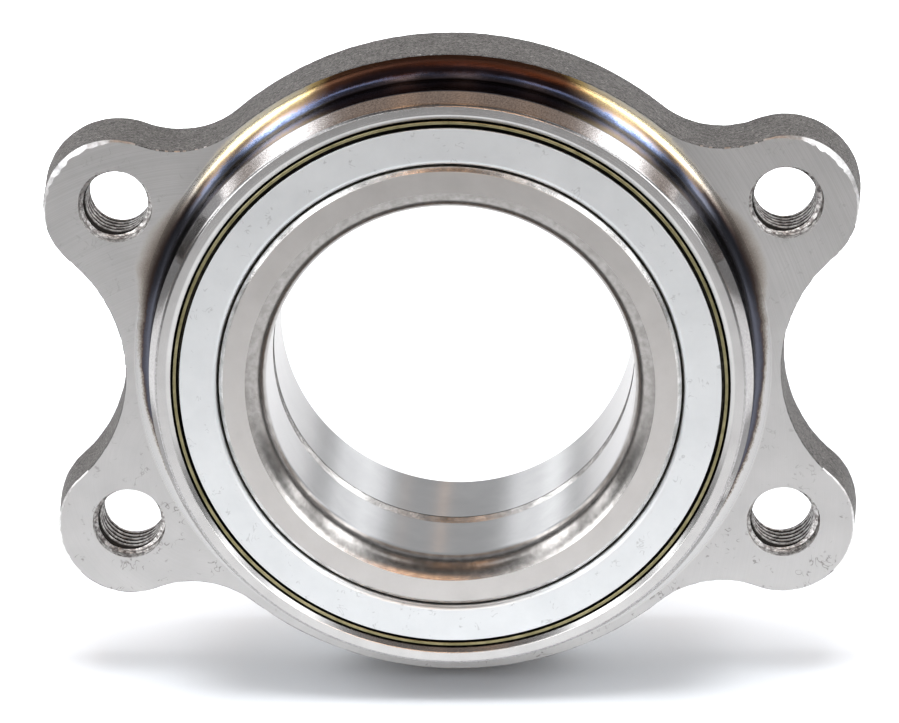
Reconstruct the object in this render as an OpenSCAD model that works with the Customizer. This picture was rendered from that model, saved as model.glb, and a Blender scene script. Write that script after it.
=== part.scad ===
// Flanged wheel bearing unit: double row angular contact ball bearing with a forged
// four-ear flange, two inner rings, snap cages and a cassette seal at each end.
// The bearing axis is Y, the origin is the middle of the bearing on that axis, and the
// flange's machined face and its pilot boss look towards -Y.

/* [Bearing] */
// Bore of the inner rings
bore_d = 61; // [52:0.5:70]
// Width over the two inner rings
width = 39; // [36:0.5:44]
// Ball diameter
ball_d = 11.112; // [10.4:0.1:11.2]
// Balls in each row
ball_count = 18; // [12:1:18]
// Contact angle of the balls
contact_angle = 36; // [30:1:40]
// Running clearance between a ball and each raceway
race_gap = 0.08; // [0.08:0.01:0.12]
// Radius of a raceway's groove, as a share of the ball diameter
groove_share = 0.53; // [0.52:0.005:0.54]

/* [Inner rings] */
// Wall between the bore and the bottom of the inner raceway
inner_wall = 4; // [3.5:0.1:5]
// Height of the seal land over the inner raceway
land_h = 3.9; // [3.6:0.1:4.1]
// Height of the low shoulder at the joint over the inner raceway
low_h = 1.6; // [1:0.1:2.2]
// Chamfer between an inner ring's end face and its seal land
face_chamfer = 1; // [0.4:0.1:1.4]
// Radial size of the rounded lead-in at the front of the bore
lead_in_r = 3.3; // [2:0.1:4]
// Length of that lead-in along the bore
lead_in_l = 4.4; // [4.1:0.1:6]
// Radial size of the bore's chamfer at the joint of the two rings
joint_chamfer_r = 1; // [0.4:0.1:1.4]
// Length of that chamfer
joint_chamfer_l = 1.6; // [0.6:0.1:2.4]
// Chamfer at the rear end of the bore
rear_chamfer = 1.1; // [0.4:0.1:2]

/* [Outer ring] */
// Wall between the outer raceway and the pilot boss
outer_wall = 4.4; // [4:0.1:7]
// Height of the land between the two outer raceways over the raceway
outer_land_h = 3.1; // [2:0.1:3.6]
// How far the seal seat is wider than the outer raceway
seat_step = 0.15; // [0.1:0.05:0.6]
// How far the rim beside each raceway is narrower than the raceway
retain_h = 0.25; // [0.1:0.05:0.5]
// Length of the seal seat that is left behind the seal case
seat_room = 0.6; // [0.3:0.1:1.2]
// Chamfer at the mouth of the seal seat
seat_chamfer = 0.9; // [0.5:0.1:1.4]
// Radial size of the lead-in cone on the pilot boss
boss_cone_r = 1.8; // [0.6:0.1:2.2]
// Length of that cone
boss_cone_l = 3.6; // [1:0.1:5]
// Fillet between the boss and the flange face
boss_fillet = 2.6; // [1.5:0.1:3]
// How far the rear boss is smaller than the pilot boss, on the radius
rear_step = 0.5; // [0.2:0.1:1.5]
// Chamfer on the rear boss
rear_boss_chamfer = 1.2; // [0.5:0.1:2]

/* [Flange] */
// Distance of the machined flange face from the middle of the bearing
flange_y = 7.3; // [6:0.1:8]
// Thickness of the flange
flange_t = 11.5; // [9:0.1:14]
// Height of the flange's round rim over the pilot boss
rim_h = 4.7; // [4.2:0.1:8]
// Half the width of the flange at its waist, over the rim
waist_h = 0.2; // [0.1:0.1:1]
// Hole spacing across the flange
hole_x = 110.9; // [106:0.1:130]
// Hole spacing up the flange
hole_z = 56.3; // [50:0.1:62]
// Radius of an ear at the machined face
ear_r = 12; // [11:0.1:13]
// Radius of the blend between an ear and the rim
blend_r = 16.2; // [12:0.1:24]
// Draft of the forged edge
draft_angle = 4.8; // [1:0.1:6]
// Break of the edge round the machined face
front_break = 0.5; // [0.2:0.1:0.9]
// Break of the edge round the forged back face
back_break = 1; // [0.4:0.1:1.6]
// How far the forged outline sits low on the machined axis
forging_drop = 0.6; // [0:0.1:1]
// How deep a blend or waist bites into the rim and the ears it runs between
blend_bite = 0.04; // [0.02:0.01:0.1]

/* [Tapped holes] */
// Bore of a tapped hole, the thread's inner diameter
tap_d = 10.4; // [8.5:0.1:10.8]
// Diameter of the counterbore in front of the thread
hole_mouth_d = 12.4; // [12:0.1:14]
// Depth of the counterbore's straight part
hole_mouth_l = 1.8; // [0.5:0.1:2.5]
// Countersink at the back of a tapped hole
hole_back_break = 1.2; // [0.4:0.1:1.5]

/* [Cages] */
// Clearance between a ball and its pocket
pocket_gap = 0.2; // [0.12:0.01:0.24]
// Thickness of the rim behind the pockets
cage_rim = 1.2; // [0.8:0.1:1.6]
// Running clearance between a cage's rim and the seal behind it
cage_seal_gap = 0.64; // [0.4:0.02:1]
// How far the claws reach past the ball centres
claw_l = 2.3; // [1.8:0.1:2.6]
// Running clearance between the cage and the seal land
cage_gap = 0.6; // [0.4:0.1:1]
// Height of the cage's section
cage_h = 4.2; // [3.6:0.1:4.6]
// Width of the slot between neighbouring claws
claw_slot = 1.2; // [0.8:0.1:1.4]

/* [Seals] */
// How far a slinger lies below the ring ends
slinger_recess = 0.2; // [0.1:0.05:0.3]
// Sheet thickness of a slinger
slinger_t = 0.6; // [0.4:0.05:0.7]
// Length of a slinger's sleeve
sleeve_l = 3.4; // [3:0.1:3.6]
// Gap between a slinger's edge and its case
slinger_gap = 0.35; // [0.2:0.05:0.6]
// Sheet thickness of a seal case
case_t = 0.55; // [0.4:0.05:0.65]
// How far a seal case lies below the ring ends
case_recess = 0.5; // [0.3:0.1:0.7]
// Depth of a seal case
case_l = 3.2; // [3:0.05:3.3]
// Gap between a seal case's inner edge and the slinger's sleeve
case_gap = 1.6; // [1.4:0.1:2.2]
// Clearance between a seal lip and the slinger
lip_gap = 0.15; // [0.1:0.01:0.2]
// Thickness of a seal lip
lip_t = 0.45; // [0.35:0.05:0.55]
// Thickness of the magnetic encoder ring
encoder_t = 0.15; // [0.1:0.05:0.2]

/* [Hidden] */
fn_round = 144;
fn_ball = 48;
past = 1;
half_w = width / 2;
bore_r = bore_d / 2;
ball_r = ball_d / 2;
inner_race_r = bore_r + inner_wall;
pitch_r = inner_race_r + ball_r;
outer_race_r = pitch_r + ball_r;
// each row lies as near its seal as its cage allows
case_front_y = half_w - case_recess;
case_back_y = case_front_y - case_l;
seat_depth = case_recess + case_l + seat_room;
pocket_r = ball_r + pocket_gap;
cage_end_y = case_back_y - cage_seal_gap;
row_y = cage_end_y - cage_rim - pocket_r;
groove_r = groove_share * ball_d;
// the groove's centre lies this far from the ball's centre, along the contact line
groove_off = groove_r - ball_r - race_gap;
groove_dr = groove_off * cos(contact_angle);
groove_dy = groove_off * sin(contact_angle);
land_r = inner_race_r + land_h;
low_r = inner_race_r + low_h;
lead_arc_r = (lead_in_r * lead_in_r + lead_in_l * lead_in_l) / (2 * lead_in_r);

boss_r = outer_race_r + outer_wall;
rear_boss_r = boss_r - rear_step;
seat_r = outer_race_r + seat_step;
retain_r = outer_race_r - retain_h;
outer_land_r = outer_race_r - outer_land_h;

rim_r = boss_r + rim_h;
waist_x = rim_r + waist_h;
ear_x = hole_x / 2;
ear_z = hole_z / 2;
flange_back = flange_t - flange_y;
// the turned core of the flange ends between the boss fillet and the forged rim's broken edge
core_r = (boss_r + boss_fillet + rim_r - front_break - forging_drop) / 2;
draft_tan = tan(draft_angle);
hole_cone_l = (hole_mouth_d - tap_d) / 2;
// the waist is an arc through (waist_x, 0) that meets both ears of its side smoothly
waist_in = waist_x - ear_x;
waist_r = (waist_in * waist_in + ear_z * ear_z - ear_r * ear_r) / (2 * (ear_r - waist_in));
// the blend's centre is where circles round the axis and round the ear's centre cross
ear_far = sqrt(ear_x * ear_x + ear_z * ear_z);
to_rim = rim_r + blend_r;
to_ear = ear_r + blend_r;
blend_turn = acos((to_rim * to_rim + ear_far * ear_far - to_ear * to_ear) / (2 * to_rim * ear_far));
blend_at = atan2(ear_z, ear_x) + blend_turn;
blend_x = to_rim * cos(blend_at);
blend_z = to_rim * sin(blend_at);

cage_in_r = land_r + cage_gap;
cage_open_y = row_y - claw_l;

sleeve_r = land_r + slinger_t;
case_in_r = seat_r - case_t;
slinger_out_r = case_in_r - slinger_gap;
slinger_y = half_w - slinger_recess;
disc_y = slinger_y - slinger_t;
case_edge_r = sleeve_r + case_gap;
lip_r = sleeve_r + lip_gap;

function ball_name(row, i) = str("ball_", row, "_", i < 10 ? "0" : "", i);

// turns a part drawn round Z so that its axis lies along Y
module about_y() {
    rotate([-90, 0, 0]) children();
}

// a section drawn as (radius, distance along the axis) revolved round the bearing axis
module revolved() {
    about_y() rotate_extrude($fn = fn_round) children();
}

// the front half of a symmetric part is the rear half mirrored
module front_side() {
    mirror([0, 1, 0]) children();
}

module inner_groove() {
    translate([pitch_r + groove_dr, row_y - groove_dy]) circle(r = groove_r, $fn = fn_round);
}

module outer_groove() {
    translate([pitch_r - groove_dr, row_y + groove_dy]) circle(r = groove_r, $fn = fn_round);
}

// an inner ring's section behind the joint plane, with a square corner at its bore's end
module inner_section() {
    difference() {
        polygon([
            [bore_r + joint_chamfer_r, 0],
            [low_r - face_chamfer / 2, 0],
            [low_r, face_chamfer / 2],
            [low_r, row_y],
            [land_r, row_y],
            [land_r, half_w - face_chamfer],
            [land_r - face_chamfer, half_w],
            [bore_r, half_w],
            [bore_r, joint_chamfer_l]
        ]);
        inner_groove();
    }
}

module inner_ring_front() {
    color("lightsteelblue")
    front_side() revolved() difference() {
        inner_section();
        difference() {
            translate([bore_r - past, half_w - lead_in_l]) square([past + lead_in_r, lead_in_l + past]);
            translate([bore_r + lead_arc_r, half_w - lead_in_l]) circle(r = lead_arc_r, $fn = fn_round);
        }
    }
}

module inner_ring_rear() {
    color("lightsteelblue")
    revolved() difference() {
        inner_section();
        polygon([
            [bore_r - past, half_w - rear_chamfer - past],
            [bore_r + rear_chamfer + past, half_w + past],
            [bore_r - past, half_w + past]
        ]);
    }
}

// what is turned out of one end of the outer ring: half the land, the raceway and the seal seat
module outer_cut() {
    polygon([
        [0, 0],
        [outer_land_r, 0],
        [outer_land_r, row_y],
        [retain_r, row_y],
        [retain_r, half_w - seat_depth],
        [seat_r, half_w - seat_depth],
        [seat_r, half_w - seat_chamfer],
        [seat_r + seat_chamfer + past, half_w + past],
        [0, half_w + past]
    ]);
    outer_groove();
}

// the pilot boss in front of the flange and the plain boss behind it
module boss_section() {
    fillet_y = flange_y + boss_fillet;
    difference() {
        polygon([
            [0, -half_w],
            [boss_r - boss_cone_r, -half_w],
            [boss_r, -half_w + boss_cone_l],
            [boss_r, -fillet_y],
            [boss_r + boss_fillet, -flange_y],
            [core_r, -flange_y],
            [core_r, flange_back],
            [rear_boss_r + boss_fillet, flange_back],
            [rear_boss_r, flange_back + boss_fillet],
            [rear_boss_r, half_w - rear_boss_chamfer],
            [rear_boss_r - rear_boss_chamfer, half_w],
            [0, half_w]
        ]);
        translate([boss_r + boss_fillet, -fillet_y]) circle(r = boss_fillet, $fn = fn_round);
    }
}

// a forged disc or boss of the flange, with draft and broken edges, standing on its machined face
module drafted(r) {
    back_r = r + flange_t * draft_tan;
    rotate_extrude($fn = fn_round) polygon([
        [0, 0],
        [r - front_break, 0],
        [r + front_break * draft_tan, front_break],
        [back_r - back_break * draft_tan, flange_t - back_break],
        [back_r - back_break, flange_t],
        [0, flange_t]
    ]);
}

// the same edge seen from the air side, for the hollow between two bosses
module hollow(r) {
    back_r = r - flange_t * draft_tan;
    rotate_extrude($fn = fn_round) polygon([
        [0, -past],
        [r + front_break + past, -past],
        [r + front_break, 0],
        [r - front_break * draft_tan, front_break],
        [back_r + back_break * draft_tan, flange_t - back_break],
        [back_r + back_break, flange_t],
        [back_r + back_break + past, flange_t + past],
        [0, flange_t + past]
    ]);
}

// webs between the rim and the two ears of one side
module ear_webs() {
    difference() {
        linear_extrude(flange_t) polygon([
            [0, 0],
            [blend_x, blend_z],
            [ear_x, ear_z],
            [waist_x + waist_r, 0],
            [ear_x, -ear_z],
            [blend_x, -blend_z]
        ]);
        translate([waist_x + waist_r, 0]) hollow(waist_r + blend_bite);
        for (s = [-1, 1]) translate([blend_x, s * blend_z]) hollow(blend_r + blend_bite);
    }
}

module flange_forging() {
    difference() {
        translate([0, -flange_y, -forging_drop]) about_y() {
            drafted(rim_r);
            for (sx = [-1, 1], sz = [-1, 1]) translate([sx * ear_x, sz * ear_z]) drafted(ear_r);
            ear_webs();
            mirror([1, 0, 0]) ear_webs();
        }
        translate([0, -half_w, 0]) about_y() cylinder(r = core_r, h = width, $fn = fn_round);
    }
}

module tapped_hole() {
    tap_r = tap_d / 2;
    mouth_r = hole_mouth_d / 2;
    translate([0, 0, -past]) cylinder(r = tap_r, h = flange_t + 2 * past, $fn = fn_round);
    translate([0, 0, -past]) cylinder(r = mouth_r, h = past + hole_mouth_l, $fn = fn_round);
    translate([0, 0, hole_mouth_l])
        cylinder(r1 = mouth_r, r2 = tap_r, h = hole_cone_l, $fn = fn_round);
    translate([0, 0, flange_t - hole_back_break])
        cylinder(r1 = tap_r, r2 = tap_r + hole_back_break + past, h = hole_back_break + past, $fn = fn_round);
}

module outer_ring() {
    color("silver")
    difference() {
        union() {
            revolved() boss_section();
            flange_forging();
        }
        revolved() outer_cut();
        front_side() revolved() outer_cut();
        translate([0, -flange_y, 0]) about_y()
            for (sx = [-1, 1], sz = [-1, 1]) translate([sx * ear_x, sz * ear_z]) tapped_hole();
    }
}

// balls lie at even steps round a row, and the rear row is half a step on
function ball_angle(i, shift) = 90 + 360 * (i - 1 + shift) / ball_count;

module at_ball(angle) {
    rotate([0, -angle, 0]) translate([pitch_r, row_y, 0]) children();
}

module ball(angle) {
    color("gainsboro") at_ball(angle) sphere(r = ball_r, $fn = fn_ball);
}

// snap cage: a solid rim behind open pockets, with slots that let the claws flex
module cage(shift) {
    step = 360 / ball_count;
    slot_l = claw_l + ball_r / 3;
    color("darkslategray")
    difference() {
        revolved() translate([cage_in_r, cage_open_y]) square([cage_h, cage_end_y - cage_open_y]);
        for (i = [1:ball_count]) {
            at_ball(ball_angle(i, shift)) rotate([0, 90, 0]) sphere(r = pocket_r, $fn = fn_ball);
            rotate([0, -ball_angle(i, shift) - step / 2, 0])
                translate([pitch_r, cage_open_y, 0]) rotate([0, 90, 0]) {
                    translate([-claw_slot / 2, -past, -cage_h]) cube([claw_slot, past + slot_l, 2 * cage_h]);
                    translate([0, slot_l, -cage_h]) cylinder(d = claw_slot, h = 2 * cage_h, $fn = fn_ball);
                }
        }
    }
}

// pressed angle ring: a sleeve on the seal land and a disc that closes the seal's mouth
module seal_slinger() {
    bend_r = slinger_t;
    color("gainsboro")
    revolved() difference() {
        polygon([
            [land_r, slinger_y - sleeve_l],
            [sleeve_r, slinger_y - sleeve_l],
            [sleeve_r, disc_y],
            [slinger_out_r, disc_y],
            [slinger_out_r, slinger_y],
            [land_r, slinger_y]
        ]);
        difference() {
            translate([land_r - past, slinger_y - bend_r]) square(bend_r + past);
            translate([land_r + bend_r, slinger_y - bend_r]) circle(r = bend_r, $fn = fn_round);
        }
    }
}

// pressed case in the outer ring's seat, with a web that carries the lips
module seal_case() {
    color("darkkhaki")
    revolved() polygon([
        [seat_r, case_front_y],
        [case_in_r, case_front_y],
        [case_in_r, case_back_y + case_t],
        [case_edge_r, case_back_y + case_t],
        [case_edge_r, case_back_y],
        [seat_r, case_back_y]
    ]);
}

// rubber bonded round the edge of the case's web: one lip on the sleeve, one against the disc
module seal_lip() {
    web_y = case_back_y + case_t;
    foot_r = case_edge_r + 2 * lip_t;
    face_y = disc_y - lip_gap;
    face_r = foot_r + face_y - web_y;
    color("dimgray")
    revolved() polygon([
        [case_edge_r, case_back_y],
        [case_edge_r, web_y],
        [foot_r + lip_t, web_y],
        [face_r + lip_t, face_y],
        [face_r, face_y],
        [foot_r - lip_t, web_y + lip_t],
        [case_edge_r - lip_t, web_y + lip_t],
        [lip_r, web_y + 2 * lip_t],
        [lip_r, web_y + lip_t],
        [case_edge_r - 2 * lip_t, case_back_y]
    ]);
}

// magnetised rubber on the rear slinger's disc, read by the wheel speed sensor
module encoder_ring() {
    color("black")
    revolved() translate([sleeve_r + slinger_t, slinger_y])
        square([slinger_out_r - sleeve_r - slinger_t, encoder_t]);
}

outer_ring();
inner_ring_front();
inner_ring_rear();
front_side() cage(0);  // cage_front
cage(0.5);  // cage_rear
front_side() seal_slinger();  // seal_slinger_front
seal_slinger();  // seal_slinger_rear
front_side() seal_case();  // seal_case_front
seal_case();  // seal_case_rear
front_side() seal_lip();  // seal_lip_front
seal_lip();  // seal_lip_rear
encoder_ring();
for (i = [1:ball_count]) {
    front_side() ball(ball_angle(i, 0));
    ball(ball_angle(i, 0.5));
}
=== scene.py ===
import math

import bmesh
import bpy
from mathutils import Matrix, Vector, noise


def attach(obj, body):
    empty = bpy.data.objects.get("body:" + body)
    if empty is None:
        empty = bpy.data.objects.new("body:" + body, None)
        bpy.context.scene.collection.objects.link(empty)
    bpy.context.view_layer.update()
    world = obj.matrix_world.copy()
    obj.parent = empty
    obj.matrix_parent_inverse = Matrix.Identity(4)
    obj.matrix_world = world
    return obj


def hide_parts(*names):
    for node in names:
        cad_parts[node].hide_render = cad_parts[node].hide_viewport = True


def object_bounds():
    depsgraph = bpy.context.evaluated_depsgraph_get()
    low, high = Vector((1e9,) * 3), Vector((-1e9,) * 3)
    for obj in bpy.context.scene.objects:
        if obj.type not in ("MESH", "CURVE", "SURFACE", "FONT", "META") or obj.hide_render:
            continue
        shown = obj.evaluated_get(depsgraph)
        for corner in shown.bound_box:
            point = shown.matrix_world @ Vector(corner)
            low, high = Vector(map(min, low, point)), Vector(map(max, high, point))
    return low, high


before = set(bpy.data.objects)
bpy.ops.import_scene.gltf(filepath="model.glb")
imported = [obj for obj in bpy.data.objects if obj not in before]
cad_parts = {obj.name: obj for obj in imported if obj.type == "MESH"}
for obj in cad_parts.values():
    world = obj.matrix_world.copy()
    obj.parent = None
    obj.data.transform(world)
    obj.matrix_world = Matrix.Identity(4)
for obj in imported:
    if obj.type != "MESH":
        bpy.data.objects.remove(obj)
cad_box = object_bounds()

# ---- Camera --------------------------------------------------------------------------
# The photograph's viewing angle: a long lens, a little right of the axis and 19 degrees
# above it, rolled by a degree. The three vectors are the camera's own axes.
mm = 0.001
camera_right = Vector((0.99919, 0.03633, -0.01728))
camera_up = Vector((0.00440, 0.32821, 0.94459))
camera_back = Vector((0.03998, -0.94391, 0.32779))
camera_at = Vector((27.83, -675.29, 232.72)) * mm
camera = bpy.data.objects.new("camera", bpy.data.cameras.new("camera"))
camera.data.sensor_width = 36
camera.data.lens = 169.6
camera.matrix_world = Matrix.Translation(camera_at) @ Matrix(
    (camera_right, camera_up, camera_back)).transposed().to_4x4()
bpy.context.scene.collection.objects.link(camera)
bpy.context.scene.camera = camera

# ---- Outer ring ----------------------------------------------------------------------
# A forging of bearing steel. The flange's edge and back keep their forged skin, its face
# is milled, and the boss, end face, seal seats and raceways are turned and ground. Four
# ears are counterbored and tapped M12 x 1.5 for the carrier's bolts.
turn_steps = 288
half_width = 19.5
front_y, back_y = -7.3, 4.2
flange_t = back_y - front_y
boss_r, rear_boss_r, rear_fillet = 50.012, 49.512, 2.6
ear_x, ear_z = 55.45, 28.15
draft = math.tan(math.radians(4.8))
back_round = 1.0
front_break = 0.18
forging_drop = 0.6
FORGED, MILLED, BOSS, TURNED, THREAD, GLINT_EDGE, SEAT_SHADE = range(7)


def section(bm, start, moves):
    """Draws a turned section in (radius, y) millimetres. A pair is a straight to that
    point, and four numbers are an arc's centre, its turn in degrees and its steps."""
    at = bm.verts.new((start[0] * mm, start[1] * mm, 0))
    for move in moves:
        if len(move) == 2:
            new = bm.verts.new((move[0] * mm, move[1] * mm, 0))
            bm.edges.new((at, new))
            at = new
        else:
            at = swept_arc(bm, at, (move[0] * mm, move[1] * mm, 0), (0, 0, 1), move[2], move[3])


def swept_arc(bm, at, centre, axis, degrees, steps):
    """Sweeps a point round a centre, and returns the point at the arc's end."""
    swept = bmesh.ops.spin(
        bm, geom=[at], cent=centre, axis=axis, dvec=(0, 0, 0), angle=math.radians(degrees),
        steps=steps, use_merge=False, use_normal_flip=False, use_duplicate=False)
    return swept["geom_last"][0]


def soften(bm, size, sharpest=25.0):
    """Breaks the section's corners by size millimetres, as a turned edge is broken."""
    corners = []
    for v in bm.verts:
        if len(v.link_edges) == 2:
            a, b = (e.other_vert(v).co - v.co for e in v.link_edges)
            if min(a.length, b.length) > 1e-9 and a.angle(-b) > math.radians(sharpest):
                corners.append(v)
    bmesh.ops.bevel(
        bm, geom=corners, offset=size * mm, offset_type="OFFSET", affect="VERTICES",
        segments=2, profile=0.5, material=-1, clamp_overlap=True)


def revolve(bm):
    """Turns the drawn section once round the bearing axis."""
    bmesh.ops.spin(
        bm, geom=bm.verts[:] + bm.edges[:], cent=(0, 0, 0), axis=(0, 1, 0), dvec=(0, 0, 0),
        angle=math.tau, steps=turn_steps, use_merge=True, use_normal_flip=False,
        use_duplicate=False)


def add_copy(bm, part, x=0.0, z=0.0):
    """Adds a copy of a finished part, moved across the flange in millimetres."""
    mesh = bpy.data.meshes.new("part")
    part.to_mesh(mesh)
    first = len(bm.verts)
    bm.from_mesh(mesh)
    bpy.data.meshes.remove(mesh)
    bmesh.ops.translate(bm, verts=bm.verts[:][first:], vec=(x * mm, 0, z * mm))


def finish_piece(bm, name, body, materials, replaced):
    """Makes the piece's object, smooth with sharp corners, on its body and in the place of
    its CAD node."""
    sharp_turn = math.radians(33)
    bmesh.ops.remove_doubles(bm, verts=bm.verts[:], dist=2e-7)
    bmesh.ops.recalc_face_normals(bm, faces=bm.faces[:])
    for face in bm.faces:
        face.smooth = True
    for edge in bm.edges:
        surfaces = {face.material_index for face in edge.link_faces}
        edge.smooth = len(surfaces) == 1 and edge.calc_face_angle(0) < sharp_turn
    mesh = bpy.data.meshes.new(name)
    bm.to_mesh(mesh)
    bm.free()
    for material in materials:
        mesh.materials.append(material)
    piece = bpy.data.objects.new(name, mesh)
    bpy.context.scene.collection.objects.link(piece)
    flat_faces = piece.modifiers.new("flat_faces", "WEIGHTED_NORMAL")
    flat_faces.keep_sharp = True
    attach(piece, body)
    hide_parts(*replaced)


def turn_between(start, end):
    """The turn in degrees from one direction to another, the short way."""
    return (end - start + 180) % 360 - 180


def bearing(a, b):
    """The direction in degrees from one point of the flange's plane to another."""
    return math.degrees(math.atan2(b[1] - a[1], b[0] - a[0]))


def flange_outline(bm, y, grow):
    """The forging's outline: rim, blend, ear and waist arcs of one quarter, mirrored twice."""
    rim_r, ear_r, blend_r, waist_x = 54.45 + grow, 12 + grow, 16.4 - grow, 54.9 + grow
    arc_step = 0.5
    ear = (ear_x, ear_z)
    ear_far = math.hypot(*ear)
    to_rim, to_ear = rim_r + blend_r, ear_r + blend_r
    blend_at = bearing((0, 0), ear) + math.degrees(math.acos(
        (to_rim ** 2 + ear_far ** 2 - to_ear ** 2) / (2 * to_rim * ear_far)))
    blend_turn = math.radians(blend_at)
    blend = (to_rim * math.cos(blend_turn), to_rim * math.sin(blend_turn))
    waist_in = waist_x - ear_x
    waist_r = (waist_in ** 2 + ear_z ** 2 - ear_r ** 2) / (2 * (ear_r - waist_in))
    waist = (waist_x + waist_r, 0)
    arcs = (
        ((0, 0), rim_r, 90, blend_at),
        (blend, blend_r, blend_at + 180, bearing(blend, ear)),
        (ear, ear_r, bearing(blend, ear) + 180, bearing(ear, waist)),
        (waist, waist_r, bearing(waist, ear), 180),
    )
    at = bm.verts.new((0, y * mm, rim_r * mm))
    for centre, radius, start, end in arcs:
        turn = turn_between(start, end)
        if centre == ear:
            turn = -((start - end) % 360)
        steps = max(4, round(radius * math.radians(abs(turn)) / arc_step))
        at = swept_arc(bm, at, (centre[0] * mm, y * mm, centre[1] * mm), (0, 1, 0), -turn, steps)
    for axis in ("Z", "X"):
        bmesh.ops.mirror(
            bm, geom=bm.verts[:] + bm.edges[:], matrix=Matrix(), merge_dist=1e-6, axis=axis)
    bmesh.ops.remove_doubles(bm, verts=bm.verts[:], dist=1e-6)
    bmesh.ops.translate(bm, verts=bm.verts[:], vec=(0, 0, -forging_drop * mm))


def tapped_hole():
    """A counterbored hole with a real M12 x 1.5 thread: one pitch of its flank is swept
    along the helix, and the mouth and the rear countersink are bored out of it."""
    pitch, steps, turns = 1.5, 72, 10
    tap_r, major_r, mouth_r, mouth_l, countersink = 5.2, 6.0, 6.2, 1.8, 1.2
    half_root, flank_slope = 0.094, 1.732
    start_y = front_y - pitch
    bm = bmesh.new()
    line = [bm.verts.new((tap_r * mm, (start_y + u * pitch) * mm, 0))
            for u in (0, 0.129, 0.4375, 0.5625, 0.871, 1)]
    line += [bm.edges.new(pair) for pair in zip(line, line[1:])]
    bmesh.ops.spin(
        bm, geom=line, cent=(0, 0, 0), axis=(0, 1, 0), dvec=(0, pitch * mm / steps, 0),
        angle=math.tau * turns, steps=steps * turns, use_merge=False, use_normal_flip=False,
        use_duplicate=False)
    bmesh.ops.remove_doubles(bm, verts=bm.verts[:], dist=1e-6)
    cone_end = mouth_l + mouth_r - tap_r
    for depth, trim_front, trim_back in (
            (0, True, False), (flange_t, False, True), (mouth_l, False, False),
            (cone_end, False, False), (flange_t - countersink, False, False)):
        bmesh.ops.bisect_plane(
            bm, geom=bm.verts[:] + bm.edges[:] + bm.faces[:], dist=1e-8,
            plane_co=(0, (front_y + depth) * mm, 0), plane_no=(0, 1, 0),
            clear_inner=trim_front, clear_outer=trim_back)
    for v in bm.verts:
        depth = v.co.y / mm - front_y
        u = ((v.co.y / mm - start_y) / pitch - math.atan2(-v.co.z, v.co.x) / math.tau) % 1
        off_root = max(0.0, abs(u - 0.5) * pitch - half_root)
        thread_r = max(tap_r, major_r - off_root * flank_slope)
        bored_r = mouth_r - min(max(depth - mouth_l, 0), mouth_r - tap_r)
        sunk_r = tap_r + max(0, depth - flange_t + countersink)
        scale = max(thread_r, bored_r, sunk_r) * mm / math.hypot(v.co.x, v.co.z)
        v.co.x, v.co.z = v.co.x * scale, v.co.z * scale
    for face in bm.faces:
        face.material_index = THREAD
    return bm


def ear_edge(x, z):
    """How much of the die's rounded edge was left standing at the milled face: 0 to 1 along
    the outer, upper side of an ear, and less on the lower ears."""
    ear_reach, fade_turn = 16, 76
    widest_at, most = (46, 0.85) if z > 0 else (5, 0.2)
    off_x, off_z = abs(x) - ear_x, z - math.copysign(ear_z, z)
    if math.hypot(off_x, off_z) > ear_reach:
        return 0.0
    away = abs(turn_between(math.degrees(math.atan2(off_z, off_x)), widest_at))
    return (0.5 + 0.5 * math.cos(math.pi * min(1, away / fade_turn))) * most


# the forged edge: the outline at the flange's back, then drawn forward by insets
ring = bmesh.new()
flange_outline(ring, back_y, (flange_t - back_round) * draft - back_round)
bmesh.ops.contextual_create(ring, geom=ring.edges[:])
outline_face = ring.faces[:][0]
outline_face.normal_update()
if outline_face.normal.y > 0:
    outline_face.normal_flip()
round_steps, draft_steps = 4, 21
round_turns = [math.radians(90 * k / round_steps) for k in range(round_steps + 1)]
draft_step = (flange_t - back_round - front_break) / draft_steps
levels = [
    (back_round * (math.cos(a) - math.cos(b)), back_round * (math.sin(a) - math.sin(b)))
    for a, b in zip(round_turns, round_turns[1:])]
levels += [(draft_step, draft_step * draft)] * draft_steps
for forward, inward in levels:
    bmesh.ops.inset_region(
        ring, faces=[outline_face], use_boundary=True, use_even_offset=True,
        use_interpolate=False, use_relative_offset=False, use_edge_rail=False,
        thickness=inward * mm, depth=forward * mm)

# its break at the milled face, wider on the ears' outer corners, with burrs from the cutter on the
# upper half; the break and the burrs take a pale finish that is partly a painted highlight
bmesh.ops.inset_region(
    ring, faces=[outline_face], use_boundary=True, use_even_offset=True,
    thickness=front_break * mm, depth=front_break * mm)
edge_verts = set(outline_face.verts)
bmesh.ops.delete(ring, geom=[outline_face], context="FACES_ONLY")
burrs_from_x, burrs_per_mm, burr_level = 40, 1.3, 0.24
for face in ring.faces:
    centre = face.calc_center_median() / mm
    burr_glints = (abs(centre.x) > burrs_from_x and centre.z > 0
              and noise.noise(centre * burrs_per_mm) > burr_level)
    worn = burr_glints or ear_edge(centre.x, centre.z) > 0.05
    face.material_index = GLINT_EDGE if edge_verts & set(face.verts) and worn else FORGED

# the skin's roughness, and the ears' worn slope behind the milled edge
ring.normal_update()
worn_w, worn_drop, worn_back = 0.85, 0.5, 3
skin_depth, skin_most = 0.05, 0.16
for v in ring.verts:
    worn = ear_edge(v.co.x / mm, v.co.z / mm)
    if v in edge_verts:
        outward = Vector((v.normal.x, 0, v.normal.z)).normalized()
        wide = worn_w * worn
        v.co -= outward * (wide + (0.05 + 0.5 * wide) * noise.noise(v.co * 1300)) * mm
        v.co.y = front_y * mm
    elif abs(v.co.y / mm - back_y) > 1e-3:
        rough = noise.fractal(v.co * 620, 0.7, 2.1, 4) + noise.noise(v.co * 160)
        lower = worn_drop * worn * max(0.0, 1 - (v.co.y / mm - front_y) / worn_back)
        v.co -= v.normal * min(skin_most, max(0.0, skin_depth + skin_depth * rough)) * mm
        v.co.y += lower * mm

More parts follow.
